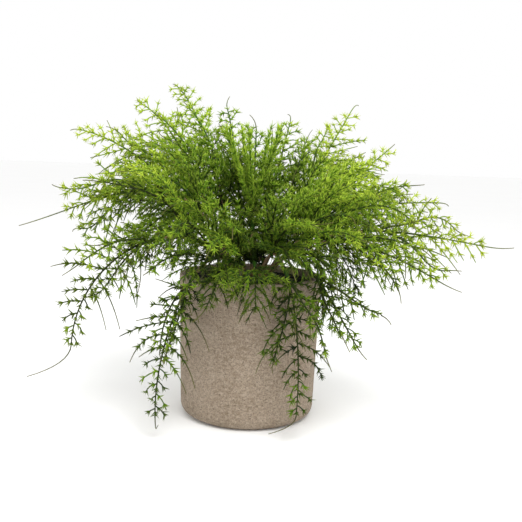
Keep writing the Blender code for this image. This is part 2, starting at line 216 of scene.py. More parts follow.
def apply_all(obj):
    """Applies every modifier and the object's place, so that the place is in the mesh."""
    select_none()
    bpy.context.view_layer.objects.active = obj
    obj.select_set(True)
    for modifier in list(obj.modifiers):
        bpy.ops.object.modifier_apply(modifier=modifier.name)
    bpy.ops.object.transform_apply(location=True, rotation=True, scale=True)


pot_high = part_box("pot")[1]
soil_low, soil_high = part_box("soil_cover")
pot_height = pot_high.z
pot_top_radius = pot_high.x
pot_base_radius = pot_top_radius - 3 * MM
pot_wall = 6 * MM
pot_foot_round = 8 * MM
pot_rim_round = 2.2 * MM
pot_floor = 8 * MM
pot_depth = pot_height - pot_floor
pot_floor_share = 0.94
pot_sides = 176
wall_cuts = 46
wall_edge = 40 * MM
pulp_unevenness = 0.5 * MM

bpy.ops.mesh.primitive_cylinder_add(
    vertices=pot_sides,
    radius=pot_top_radius,
    depth=pot_height,
    location=(0, 0, pot_height / 2),
    end_fill_type="NGON",
)
pot = bpy.context.object
pot.name = "pulp_pot"
bpy.ops.object.transform_apply(location=True)

# The foot is drawn in, then the inside is sunk from the top face, a touch narrower at its floor.
edit(pot, "VERT")
pick(pot.data.vertices, lambda v: v.co.z < MM)
foot = pot_base_radius / pot_top_radius
bpy.ops.transform.resize(value=(foot, foot, 1), center_override=(0, 0, 0))
bpy.ops.object.mode_set(mode="OBJECT")
edit(pot, "FACE")
pick(pot.data.polygons, lambda f: f.normal.z > 0.9)
bpy.ops.mesh.inset(thickness=pot_wall)
bpy.ops.mesh.extrude_region_move(TRANSFORM_OT_translate={"value": (0, 0, -pot_depth)})
bpy.ops.transform.resize(value=(pot_floor_share, pot_floor_share, 1), center_override=(0, 0, 0))
bpy.ops.object.mode_set(mode="OBJECT")


def ring_edges(obj, height, inner, outer):
    """A test for the edges of a level ring at a height, between two radii."""
    def test(edge):
        ends = [obj.data.vertices[k].co for k in edge.vertices]
        return all(abs(c.z - height) < MM and inner < c.xy.length < outer for c in ends)
    return test


for level, inner, outer, width, steps in (
    (0.0, 0.8 * pot_base_radius, 1.1 * pot_base_radius, pot_foot_round, 10),
    (pot_height, 0.5 * pot_top_radius, 1.1 * pot_top_radius, pot_rim_round, 5),
):
    edit(pot, "EDGE")
    pick(pot.data.edges, ring_edges(pot, level, inner, outer))
    bpy.ops.mesh.bevel(offset=width, segments=steps, profile=0.5, affect="EDGES")
    bpy.ops.object.mode_set(mode="OBJECT")


def rise_of(edge):
    first, second = (pot.data.vertices[k].co.z for k in edge.vertices)
    return abs(first - second)


# The wall is cut into level rings, which then take the unevenness of dried pulp.
edit(pot, "EDGE")
pick(pot.data.edges, lambda e: rise_of(e) > wall_edge)
bpy.ops.mesh.subdivide(number_cuts=wall_cuts)
bpy.ops.object.mode_set(mode="OBJECT")
for texture_name, size, strength in (
    ("pulp_waves", 22 * MM, pulp_unevenness),
    ("pulp_lumps", 4 * MM, 0.45 * pulp_unevenness),
):
    clouds = bpy.data.textures.new(texture_name, "CLOUDS")
    clouds.noise_scale = size
    clouds.noise_depth = 3
    swell = pot.modifiers.new(texture_name, "DISPLACE")
    swell.texture = clouds
    swell.texture_coords = "LOCAL"
    swell.strength = strength
    swell.mid_level = 0.5
apply_all(pot)
# The underside is made flat again, so that the pot stands.
edit(pot, "VERT")
pick(pot.data.vertices, lambda v: v.co.z < 0.4 * MM)
bpy.ops.transform.resize(value=(1, 1, 0), center_override=(0, 0, 0))
bpy.ops.object.mode_set(mode="OBJECT")
bpy.ops.object.shade_smooth()

pulp, shader, place = material("moulded_pulp", (0.33, 0.27, 0.19), 0.93)
patches = place.noise(38, 4, 0.6).between(0.35, 0.68)
bands = place.noise(20, 3, 0.5, stretch=(1, 1, 3.2)).between(0.3, 0.7)
clots = place.noise(310, 5, 0.75, stretch=(1, 1, 1.5)).between(0.40, 0.62)
grains = place.noise(900, 2, 0.6)
fibres = place.noise(700, 4, 0.7, stretch=(1, 1, 2.0))
specks = place.node("TexVoronoi", {"feature": "F1"}, {"Vector": place, "Scale": 620.0})
ground = patches.mix((0.236, 0.180, 0.122, 1), (0.362, 0.290, 0.214, 1))
toned = (bands * 0.4).mix(ground, (0.275, 0.200, 0.140, 1))
clotted = (clots * 0.75).mix(toned, (0.470, 0.385, 0.298, 1))
grained = (grains.between(0.40, 0.62) * 0.5).mix(clotted, (0.160, 0.118, 0.078, 1))
dark_specks = fibres.between(0.56, 0.64) * 0.8
speckled = dark_specks.mix(grained, (0.075, 0.052, 0.032, 1))
light_specks = (0.16 - specks).between(0.0, 0.12) * grains.between(0.45, 0.6) * 0.5
wire(shader, "Base Color", light_specks.mix(speckled, (0.60, 0.53, 0.44, 1)))
wire(shader, "Roughness", grains * 0.12 + 0.86)
bump(shader, patches * 0.3 + clots * 0.4 + grains * 0.3 + fibres * 0.4, 0.9 * MM, 0.9)
pot.data.materials.append(pulp)
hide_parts("pot")
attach(pot, "root")


# Ballast and foam
# Out of sight in the pot: a rough cast cement disc that keeps it steady, and a block of dry green foam that
# grips the plant. Their own solids are right as they are and only take a finish.

cement, shader, place = material("cast_cement", (0.35, 0.34, 0.32), 0.9)
sand = place.noise(500, 4, 0.7)
wire(shader, "Base Color", sand.between(0.3, 0.7).mix((0.24, 0.23, 0.21, 1), (0.46, 0.45, 0.42, 1)))
bump(shader, sand, 0.4 * MM)
frame["nodes"]["ballast_disc"].material_slots[0].material = cement

foam, shader, place = material("dry_floral_foam", (0.05, 0.13, 0.05), 0.95)
cells = place.node("TexVoronoi", {"feature": "F1"}, {"Vector": place, "Scale": 900.0})
wire(shader, "Base Color", cells.between(0.1, 0.7).mix((0.02, 0.06, 0.02, 1), (0.09, 0.20, 0.08, 1)))
bump(shader, cells, 0.5 * MM)
frame["nodes"]["foam_plug"].material_slots[0].material = foam


# Soil
# Black imitation soil: a thin moulded cover a few millimetres under the rim, with loose glued granules on it.

soil_radius = soil_high.x
soil_thickness = soil_high.z - soil_low.z
stub_hole = 7.3 * MM
soil_rings = 16
soil_lump = 1.6 * MM
bpy.ops.mesh.primitive_cylinder_add(
    vertices=96, radius=soil_radius, depth=soil_thickness, location=(0, 0, (soil_low.z + soil_high.z) / 2)
)
soil = bpy.context.object
soil.name = "soil_bed"
bpy.ops.object.transform_apply(location=True)
edit(soil, "FACE")
pick(soil.data.polygons, lambda f: f.normal.z > 0.9)
for _ in range(soil_rings):
    bpy.ops.mesh.inset(thickness=(soil_radius - stub_hole) / soil_rings)
bpy.ops.object.mode_set(mode="OBJECT")
lumps = bpy.data.textures.new("soil_lumps", "CLOUDS")
lumps.noise_scale = 5 * MM
lumps.noise_depth = 2
heave = soil.modifiers.new("heave", "DISPLACE")
heave.texture = lumps
heave.texture_coords = "LOCAL"
heave.direction = "Z"
heave.strength = soil_lump
heave.mid_level = 0.9
apply_all(soil)
bpy.ops.object.shade_smooth()

granules, shader, place = material("black_granules", (0.010, 0.010, 0.012), 0.8)
crumbs = place.noise(700, 3, 0.6)
wire(shader, "Base Color", crumbs.between(0.35, 0.75).mix((0.003, 0.003, 0.004, 1), (0.028, 0.026, 0.030, 1)))
wire(shader, "Roughness", crumbs * 0.4 + 0.6)
shader.inputs["Specular IOR Level"].default_value = 0.15
bump(shader, crumbs, 0.6 * MM)
soil.data.materials.append(granules)
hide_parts("soil_cover")
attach(soil, "root")


def read_mesh(obj):
    """The points and triangles of a mesh, as arrays."""
    mesh = obj.data
    mesh.calc_loop_triangles()
    points = np.empty(len(mesh.vertices) * 3)
    mesh.vertices.foreach_get("co", points)
    faces = np.empty(len(mesh.loop_triangles) * 3, int)
    mesh.loop_triangles.foreach_get("vertices", faces)
    return points.reshape(-1, 3), faces.reshape(-1, 3)


def new_piece(name, points, faces, attributes=None):
    """A smooth mesh object of triangles, with values stored at its points."""
    mesh = bpy.data.meshes.new(name)
    mesh.vertices.add(len(points))
    mesh.vertices.foreach_set("co", np.ascontiguousarray(points, float).ravel())
    mesh.loops.add(3 * len(faces))
    mesh.loops.foreach_set("vertex_index", np.ascontiguousarray(faces, np.int32).ravel())
    mesh.polygons.add(len(faces))
    mesh.polygons.foreach_set("loop_start", np.arange(0, 3 * len(faces), 3, dtype=np.int32))
    for key, values in (attributes or {}).items():
        stored = mesh.attributes.new(key, "FLOAT", "POINT")
        stored.data.foreach_set("value", np.ascontiguousarray(values, np.float32))
    mesh.update(calc_edges=True)
    mesh.shade_smooth()
    obj = bpy.data.objects.new(name, mesh)
    bpy.context.scene.collection.objects.link(obj)
    return obj


# One granule is modelled and copied in many sizes and turns over the soil, outside the plant's head.
bpy.ops.mesh.primitive_ico_sphere_add(subdivisions=1, radius=1.0, location=(0, 0, 0))
granule = bpy.context.object
edit(granule, "VERT")
pick(granule.data.vertices, lambda v: True)
bpy.ops.transform.vertex_random(offset=0.25, seed=5)
bpy.ops.object.mode_set(mode="OBJECT")
granule_points, granule_faces = read_mesh(granule)
bpy.data.objects.remove(granule)

rng = np.random.default_rng(417)
granule_count = 900
head_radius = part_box("bush_head")[1].x
reach = np.sqrt(rng.uniform((head_radius + 0.5 * MM) ** 2, (soil_radius - 1.2 * MM) ** 2, granule_count))
angle = rng.uniform(0, 2 * math.pi, granule_count)
heights = soil_high.z - 1.2 * MM + rng.uniform(-0.3, 0.9, granule_count) * MM
spots = np.stack([reach * np.cos(angle), reach * np.sin(angle), heights], axis=1)
sizes = rng.uniform(0.5, 1.25, (granule_count, 3)) * MM
turns = np.linalg.qr(rng.normal(size=(granule_count, 3, 3)))[0]
turns *= np.sign(np.linalg.det(turns))[:, None, None]
grains_placed = np.einsum("nij,nkj->nki", turns, granule_points[None] * sizes[:, None]) + spots[:, None]
grain_faces = granule_faces[None] + (np.arange(granule_count) * len(granule_points))[:, None, None]
chips = new_piece("soil_granules", grains_placed.reshape(-1, 3), grain_faces.reshape(-1, 3))
chips.data.materials.append(granules)
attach(chips, "root")


# Plant head
# The plastic stub and disc that all the stems come out of, pushed into the foam. It is moulded in dark
# green and its own solid, with a dimple for each stem, is right as it is.

head_plastic, shader, place = material("head_plastic", (0.03, 0.07, 0.015), 0.6)
flow = place.noise(160, 3, 0.5)
wire(shader, "Base Color", flow.between(0.3, 0.7).mix((0.012, 0.028, 0.008, 1), (0.035, 0.075, 0.02, 1)))
wire(shader, "Roughness", flow * 0.3 + 0.45)
bump(shader, flow, 0.3 * MM)
frame["nodes"]["bush_head"].material_slots[0].material = head_plastic


# Stems
# Steel wires wrapped in twisted brown paper, bare and arching over the inner half of the plant. Each one
# bends where it leaves the head. Their routes are those of the frame's stems.

stem_radius = 1.1 * MM
root_radius = 1.3 * MM
sleeve_length = 8 * MM
collar_length = 4 * MM

Side = namedtuple("Side", "at rise length droop")
# Angles in degrees and lengths in millimetres: how a stem leaves the head and arrives at its tip, how far
# the tip lies outside the rim, its height above the rim or, where it hangs, above the table, and the share
# that is bare wire. `roll` turns the flat of the spray about its rib, and `tail` is the bare end of the
# rib.
Branch = namedtuple("Branch", "rise out droop pull over tip hangs wire side roll tail")
branches = (
    Branch(58, 65, 2, 55, 111, 58, False, 0.42, Side(0.80, 62, 82, 0), -62, 14),
    Branch(55, 60, -38, 45, 83, 106, False, 0.42, Side(0.85, 30, 78, 22), -50, 12),
    Branch(58, 60, -52, 50, 90, 152, False, 0.44, Side(0.80, 34, 92, 10), -24, 26),
    Branch(68, 60, -52, 40, 42, 138, False, 0.40, Side(0.80, 40, 88, 30), -8, 24),
    Branch(76, 60, -56, 40, 8, 130, False, 0.36, Side(0.80, 44, 96, 40), 0, 22),
    Branch(72, 60, -40, 50, 30, 140, False, 0.38, Side(0.80, 38, 96, 34), 8, 14),
    Branch(64, 60, -22, 55, 62, 152, False, 0.42, Side(0.80, 36, 90, 20), 26, 8),
    Branch(60, 60, -12, 50, 67, 134, False, 0.44, Side(0.80, 30, 84, 26), 50, 12),
    Branch(58, 60, -6, 60, 96, 108, False, 0.44, Side(0.82, 26, 84, 30), 66, 10),
    Branch(72, 100, 22, 84, 126, 29, False, 0.46, Side(0.70, 44, 84, 26), 72, 44),
    Branch(58, 70, 90, 70, 86, 62, True, 0.42, Side(0.76, 60, 84, 14), 62, 30),
    Branch(56, 58, 94, 62, 42, 16, True, 0.36, Side(0.74, 62, 64, 22), 16, 30),
    Branch(48, 46, 30, 40, 46, 92, True, 0.40, Side(0.66, 62, 58, 10), 14, 12),
    Branch(44, 40, 56, 32, 22, 90, True, 0.42, None, 0, 8),
    Branch(62, 62, 98, 76, 24, 16, True, 0.34, Side(0.66, 68, 62, 14), -8, 18),
    Branch(54, 56, 46, 45, 58, 62, True, 0.40, Side(0.70, 62, 70, 14), -44, 14),
    Branch(54, 62, 28, 60, 108, 0, False, 0.42, Side(0.74, 60, 84, 18), -60, 18),
    Branch(55, 65, 8, 80, 146, 26, False, 0.44, Side(0.72, 64, 76, 4), -70, 26),
)
centre_height = 112 * MM
centre_wire = 0.34


class Route:
    """A cubic curve in the upright plane through a root, read by the distance along it."""

    SAMPLES = 80

    def __init__(self, outward, points):
        self.outward = np.array([outward[0], outward[1], 0.0])
        self.sideways = np.array([-outward[1], outward[0], 0.0])
        t = np.linspace(0, 1, self.SAMPLES + 1)[:, None]
        a, b, c, d = (np.array(p, float) for p in points)
        self.curve = (1 - t) ** 3 * a + 3 * (1 - t) ** 2 * t * b + 3 * (1 - t) * t**2 * c + t**3 * d
        steps = np.linalg.norm(np.diff(self.curve, axis=0), axis=1)
        self.distances = np.concatenate([[0], np.cumsum(steps)])
        self.length = float(self.distances[-1])
        self.slopes = np.gradient(self.curve, self.distances, axis=0)

    def flat(self, distance):
        """(r, z) at distances, carried on straight past either end."""
        distance = np.asarray(distance, float)
        inside = np.clip(distance, 0, self.length)
        place = np.stack([np.interp(inside, self.distances, self.curve[:, k]) for k in (0, 1)], -1)
        return place + (distance - inside)[..., None] * self.flat_direction(inside)

    def flat_direction(self, distance):
        run = np.stack([np.interp(distance, self.distances, self.slopes[:, k]) for k in (0, 1)], -1)
        return run / np.linalg.norm(run, axis=-1, keepdims=True)

    def raise_up(self, flat):
        return flat[..., :1] * self.outward + flat[..., 1:] * np.array([0, 0, 1.0])

    def point(self, distance):
        return self.raise_up(self.flat(distance))

    def direction(self, distance):
        return self.raise_up(self.flat_direction(distance))

    def above(self, distance):
        """Across the route, upwards in its plane."""
        run = self.flat_direction(distance)
        return self.raise_up(np.stack([-run[..., 1], run[..., 0]], -1))


def heading(degrees):
    return np.array([math.cos(math.radians(degrees)), math.sin(math.radians(degrees))])


joints = {joint["child"]: joint for joint in frame["joints"]}


def stem_route(number):
    """The route of a ring stem, from its hinge in the frame to the tip of its spray."""
    branch = branches[number - 1]
    joint = joints[f"branch_{number:02d}"]
    outward = (-joint["axis"][1], joint["axis"][0])
    start = np.array([math.hypot(*joint["pos_m"][:2]), joint["pos_m"][2]])
    ground = 0 if branch.hangs else pot_height
    end = np.array([pot_top_radius + branch.over * MM, ground + branch.tip * MM])
    leave = start + branch.out * MM * heading(branch.rise)
    arrive = end - branch.pull * MM * heading(-branch.droop)
    return Route(outward, (start, leave, arrive, end))


def collar_place(branch, route):
    return branch.side.at * (branch.wire * route.length - sleeve_length - collar_length)


def tube_frame(line):
    """Unit vectors at the points of a line: along it, across it and level, and across it and up."""
    along = np.gradient(line, axis=0)
    along /= np.linalg.norm(along, axis=1, keepdims=True)
    level = np.cross(along, (0, 0, 1.0))
    short = np.linalg.norm(level, axis=1) < 1e-3
    level[short] = (1, 0, 0)
    level /= np.linalg.norm(level, axis=1, keepdims=True)
    for k in range(1, len(level)):
        if level[k] @ level[k - 1] < 0:
            level[k] = -level[k]
    return along, level, np.cross(level, along)


def tube(line, radii, sides):
    """Points and triangles of a closed round tube along a line of points."""
    line = np.asarray(line, float)
    _, across, up = tube_frame(line)
    angles = np.arange(sides) * 2 * math.pi / sides
    rim = np.cos(angles)[None, :, None] * across[:, None] + np.sin(angles)[None, :, None] * up[:, None]
    rings = line[:, None] + rim * np.broadcast_to(radii, len(line))[:, None, None]
    points = np.concatenate([rings.reshape(-1, 3), line[:1], line[-1:]])
    ring = np.arange(sides)
    after = (ring + 1) % sides
    base = (np.arange(len(line) - 1) * sides)[:, None]
    low, low_after = base + ring, base + after
    quads = np.stack([low, low + sides, low_after + sides, low_after], -1).reshape(-1, 4)
    last = (len(line) - 1) * sides
    caps = [
        np.stack([np.full(sides, len(points) - 2), ring, after], -1),
        np.stack([np.full(sides, len(points) - 1), last + after, last + ring], -1),
    ]
    faces = np.concatenate([quads[:, [0, 1, 2]], quads[:, [0, 2, 3]], *caps])
    return points, faces[:, ::-1]


wrap, shader, place = material("twisted_paper_wrap", (0.13, 0.075, 0.03), 0.8)
strands = place.noise(1400, 3, 0.6)
stains = place.noise(60, 3, 0.6)
brown = stains.between(0.3, 0.7).mix((0.115, 0.062, 0.022, 1), (0.235, 0.150, 0.070, 1))
wire(shader, "Base Color", strands.between(0.35, 0.7).mix(brown, (0.33, 0.23, 0.12, 1)))
wire(shader, "Roughness", strands * 0.2 + 0.68)
bump(shader, strands, 0.2 * MM, 0.6)


def twisted_stem(name, node, body, route, length):
    """Two strands twisted round each other along the route, with a round root where they enter the head."""
    pitch, spacing, first = 3.2 * MM, 0.55 * MM, 0.4 * MM
    strand_sides, root_sides = 7, 12
    strand_radius = 0.62 * stem_radius
    swing = stem_radius - strand_radius
    distance = np.linspace(first, length, int(length / spacing))
    middle, above = route.point(distance), route.above(distance)
    side = np.cross(route.direction(distance), above)
    taper = np.interp(distance, [0, length], [1.0, 0.86])
    found = []
    for start_angle in (0, math.pi):
        turn = 2 * math.pi * distance / pitch + start_angle
        off = swing * (np.cos(turn)[:, None] * side + np.sin(turn)[:, None] * above)
        found.append(tube(middle + off, strand_radius * taper, strand_sides))
    root_steps = np.array([-0.95, -0.75, -0.3, 0.3, 0.75, 1.1, 1.6])
    ball = np.sqrt(np.clip(1 - (root_steps / 1.7) ** 2, 0.05, 1))
    root_widths = ball * np.array([0.3, 0.8, 1, 1, 0.95, 0.85, 0.6])
    found.append(tube(route.point(root_steps * root_radius), root_radius * root_widths, root_sides))
    points, faces, count = [], [], 0
    for some_points, some_faces in found:
        points.append(some_points)
        faces.append(some_faces + count)
        count += len(some_points)
    stem = new_piece(name, np.concatenate(points), np.concatenate(faces))
    stem.data.materials.append(wrap)
    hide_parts(node)
    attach(stem, body)


for number, branch in enumerate(branches, 1):
    name = f"{number:02d}"
    route = stem_route(number)
    twisted_stem("wire_" + name, "stem_" + name, "branch_" + name, route, branch.wire * route.length)

centre_root = np.array([0, joints["branch_centre"]["pos_m"][2]])
centre_route = Route((0, -1), [centre_root + (0, share * centre_height) for share in (0, 1 / 3, 2 / 3, 1)])
twisted_stem("wire_centre", "stem_centre", "branch_centre", centre_route, centre_wire * centre_route.length)


# Sprays
# Soft injection-moulded polyethylene, each spray one moulding: a rib with opposite twigs, tufts of short
# needles at steps along every twig, and long bare tips. The green is painted darker low down and inside the
# bush, as shade, and painted lighter and yellower high up and out from the pot, as light.

leaf, shader, place = material("leaf_plastic", (0.11, 0.21, 0.025), 0.5)
# Values stored at the points: how light, as painted light and shade, how far along a needle, how bare, and
# how far out from the pot.
tone = place.node("Attribute", {"attribute_name": "tone"}, out="Fac")
needle_share = place.node("Attribute", {"attribute_name": "needle"}, out="Fac")
bareness = place.node("Attribute", {"attribute_name": "bare"}, out="Fac")
reach = place.node("Attribute", {"attribute_name": "reach"}, out="Fac")
drift = place.noise(26, 2, 0.5).between(0.25, 0.75)
# Painted light and shade: the tone carries shade painted low and inside the bush and light painted high and
# outside. Each part's own darker or lighter green is added, and a random drift is added here.
depth = tone + drift * 0.24 - 0.12
inner = depth.node("ValToRGB", {"stops": (
    (0.0, (0.003, 0.015, 0.000)),
    (0.28, (0.020, 0.070, 0.002)),
    (0.58, (0.105, 0.260, 0.010)),
    (1.0, (0.400, 0.620, 0.050)),
)}, {0: depth})
outer = depth.node("ValToRGB", {"stops": (
    (0.0, (0.012, 0.019, 0.001)),
    (0.28, (0.044, 0.076, 0.004)),
    (0.58, (0.180, 0.280, 0.012)),
    (1.0, (0.540, 0.650, 0.060)),
)}, {0: depth})
# Foliage further out from the pot takes the lighter, yellower outer ramp: painted light on the outside of the
# bush.
green = reach.mix(inner, outer)
# Needle tips are lighter, and more so where the tone is painted light.
tipped = (needle_share * tone * 0.75).mix(green, (0.60, 0.68, 0.06, 1))
wire(shader, "Base Color", bareness.mix(tipped, (0.115, 0.110, 0.030, 1)))
gloss = place.noise(300, 2, 0.5)
wire(shader, "Roughness", gloss * 0.2 + 0.42)
shader.inputs["Specular IOR Level"].default_value = 0.16
bump(shader, gloss, 0.15 * MM, 0.4)


def make_tuft(seed, needles, length, width, lean, stretch):
    """A tuft of needles round a stretch of a twig that runs along +Z: one is modelled and copied round."""
    luck = np.random.default_rng(seed)
    select_none()
    bpy.ops.mesh.primitive_cone_add(vertices=3, radius1=width, radius2=0.0, depth=1.0, location=(0, 0, 0.5))
    needle = bpy.context.object
    bpy.ops.object.transform_apply(location=True)
    points, faces = read_mesh(needle)
    bpy.data.objects.remove(needle)
    share = points[:, 2]
    copies = []
    for k in range(needles):
        long = length * luck.uniform(0.7, 1.15)
        tilt = math.radians(lean + luck.uniform(-14, 14))
        around = 2 * math.pi * (k + luck.uniform(-0.25, 0.25)) / needles
        across = np.array([math.cos(around), math.sin(around), 0])
        along = across * math.sin(tilt) + np.array([0, 0, math.cos(tilt)])
        other = np.cross(along, across)
        other /= np.linalg.norm(other)
        third = np.cross(other, along)
        base = np.array([0, 0, stretch * luck.uniform(-0.5, 0.5)])
        copies.append(base + points[:, :1] * other + points[:, 1:2] * third + (share * long)[:, None] * along)
    faces = np.concatenate([faces + k * len(points) for k in range(needles)])
    return np.concatenate(copies), faces, np.tile(share, needles)


Style = namedtuple("Style", "tufts step twig_step twig_shape uneven angle sweep droop tail rib twig")
# Tufts and their spacing, the spacing of the twigs, their length at these shares of the rib as shares of
# the longest, how much shorter half of them are, the angle at which they leave, how they curve forwards and
# down, the bare share of a long one, and the radii of rib and twig.
twig_shares = (0, 0.2, 0.45, 0.68, 1)
coarse = Style(
    [make_tuft(seed, 8, 5.2 * MM, 0.64 * MM, 48, 2.8 * MM) for seed in range(11, 17)],
    5.6 * MM, 8.8 * MM, (0.62, 0.95, 0.88, 0.44, 0.16), 0.2, 56, 0.18, 0.30, 0.30, 0.95 * MM, 0.58 * MM,
)
hanging = coarse._replace(
    twig_shape=(0.55, 0.85, 1.0, 0.36, 0.20),
    uneven=0.45,
    angle=82,
    sweep=0.26,
    droop=0.18,
    tail=0.42,
    rib=0.85 * MM,
)
fine = Style(
    [make_tuft(seed, 6, 5.4 * MM, 0.52 * MM, 30, 2.6 * MM) for seed in range(21, 27)],
    4.0 * MM, 7.4 * MM, (0.50, 0.90, 1.0, 0.80, 0.36), 0.0, 44, 0.34, 0.16, 0.16, 0.66 * MM, 0.40 * MM,
)


resting_gap = 3 * MM
above_table = 1.5 * MM


def clear_of_pot(line, gap):
    """The line, with what would be in the pot moved smoothly over its rim or outside its wall."""
    line = line.copy()
    radius = np.maximum(np.hypot(line[:, 0], line[:, 1]), 1e-6)
    wall, rim, depth = pot_top_radius + gap, pot_height + gap, 25 * MM
    # These are 1 at the wall or the rim and 0 at the depth from which points move round the edge.
    out = 1 + (radius - wall) / depth
    up = 1 + (line[:, 2] - rim) / depth
    inside = (out < 1) & (up < 1)
    reach = np.maximum(np.maximum(out, up), 1e-6)
    moved_out = np.where(out > 0, out / reach, out)
    moved_up = np.where(up > 0, up / reach, np.where(out > 0, up, 1.0))
    line[inside, :2] *= ((wall + (moved_out - 1) * depth) / radius)[inside, None]
    line[inside, 2] = (rim + (moved_up - 1) * depth)[inside]
    line[:, 2] = np.maximum(line[:, 2], above_table)
    return line


def bend_direction(number):
    """The direction round the pot, in radians, of the upright plane that a ring stem bends in."""
    axis = joints[f"branch_{number:02d}"]["axis"]
    return math.atan2(axis[0], -axis[1])


stem_turns = [bend_direction(number) for number in range(1, len(branches) + 1)]


class Wedge:
    """The upright wedge round a stem that its sprays grow in.

    It keeps them mostly off a neighbour and, when the stem is bent down as far as it goes, off the pot.
    """

    spread = 1.25
    overlap = 8 * MM
    needle_room = 5.5 * MM

    def __init__(self, number):
        here, before = stem_turns[number - 1], stem_turns[number - 2]
        after = stem_turns[number % len(stem_turns)]
        self.outward = np.array([math.cos(here), math.sin(here), 0])
        self.sideways = np.array([-math.sin(here), math.cos(here), 0])
        self.left = self.spread * math.tan((after - here) % (2 * math.pi) / 2)
        self.right = self.spread * math.tan((here - before) % (2 * math.pi) / 2)
        joint = joints[f"branch_{number:02d}"]
        self.hinge = np.array(joint["pos_m"])
        self.bent_down = Matrix.Rotation(math.radians(joint["range_deg"][0]), 3, Vector(joint["axis"]))

    def keep(self, line):
        """The line, drawn softly in towards the wedge."""
        reach = np.clip(line @ self.outward, 0, None)
        across = line @ self.sideways
        room = self.overlap + reach * np.where(across > 0, self.left, self.right)
        line = line + (room * np.tanh(across / room) - across)[:, None] * self.sideways
        turn = np.array(self.bent_down)
        bent = clear_of_pot((line - self.hinge) @ turn.T + self.hinge, self.needle_room)
        return clear_of_pot((bent - self.hinge) @ turn + self.hinge, resting_gap)


class Pillar:
    """The round space over the soil and the head, for the spray in the middle."""

    room = 40 * MM

    def keep(self, line):
        out = np.maximum(np.hypot(line[:, 0], line[:, 1]), 1e-6)
        share = (self.room * np.tanh(out / self.room) / out)[:, None]
        return clear_of_pot(line * np.concatenate([share, share, np.ones_like(share)], 1), resting_gap)


class Moulding:
    """Gathers the parts of one spray into one mesh, with the shade of each point."""

    def __init__(self, room):
        self.room = room
        self.parts = []
        self.count = 0

    def add(self, points, faces, shade, needle=0.0, bare=0.0):
        """Adds a part: its shade is lighter or darker than the painted light and shade of its place alone
        make it.
        """
        # Painted light and shade: the tone rises with height above the pot and with distance out from it. The
        # crown and the outer foliage are painted lighter, as lit, and the low foliage inside the bush darker,
        # as shaded.
        high = np.clip((points[:, 2] - 0.85 * pot_height) / (1.15 * pot_height), 0, 1)
        outside = np.hypot(points[:, 0], points[:, 1]) - 0.8 * pot_top_radius
        out = np.clip(outside / (2.2 * pot_top_radius), 0, 1)
        tone = 0.14 + 0.50 * high + 0.40 * out + shade
        values = [np.broadcast_to(np.asarray(v, float), len(points)) for v in (tone, needle, bare, out)]
        self.parts.append((points, faces + self.count, *values))
        self.count += len(points)

    def finish(self, name, node, body):
        points, faces, *values = (np.concatenate(some) for some in zip(*self.parts))
        spray = new_piece(name, points, faces, dict(zip(("tone", "needle", "bare", "reach"), values)))
        spray.data.materials.append(leaf)
        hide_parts(node)
        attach(spray, body)


def read_line(line, far, at):
    """Points of a line at distances along it."""
    return np.stack([np.interp(at, far, line[:, axis]) for axis in range(3)], -1)


def measured(line):
    """The distance along a line at each of its points."""
    return np.concatenate([[0], np.cumsum(np.linalg.norm(np.diff(line, axis=0), axis=1))])


def unit(vectors):
    return vectors / np.linalg.norm(vectors, axis=-1, keepdims=True)


def add_tufts(moulding, line, marks, style, luck, size, shade):
    """Tufts along a line at distances, each turned about it by chance."""
    far = measured(line)
    places = read_line(line, far, marks)
    directions = unit(read_line(np.gradient(line, axis=0), far, marks))
    for place_here, along in zip(places, directions):
        points, faces, share = style.tufts[luck.integers(len(style.tufts))]
        turn = luck.uniform(0, 2 * math.pi)
        helper = np.array([0, 0, 1.0]) if abs(along[2]) < 0.9 else np.array([1.0, 0, 0])
        across = unit(np.cross(helper, along))
        first = math.cos(turn) * across + math.sin(turn) * np.cross(along, across)
        second = np.cross(along, first)
        scale = size * luck.uniform(0.8, 1.15)
        turned = points[:, :1] * first + points[:, 1:2] * second + points[:, 2:] * along
        moulding.add(scale * turned + place_here, faces, shade, share)


def add_tube(moulding, line, radii, sides, shade, bare):
    points, faces = tube(line, radii, sides)
    bare = np.concatenate([np.repeat(bare, sides), bare[:1], bare[-1:]])
    moulding.add(points, faces, shade, 0.0, bare)


rib_sides = 6
twig_sides = 3
long_twig = 15 * MM


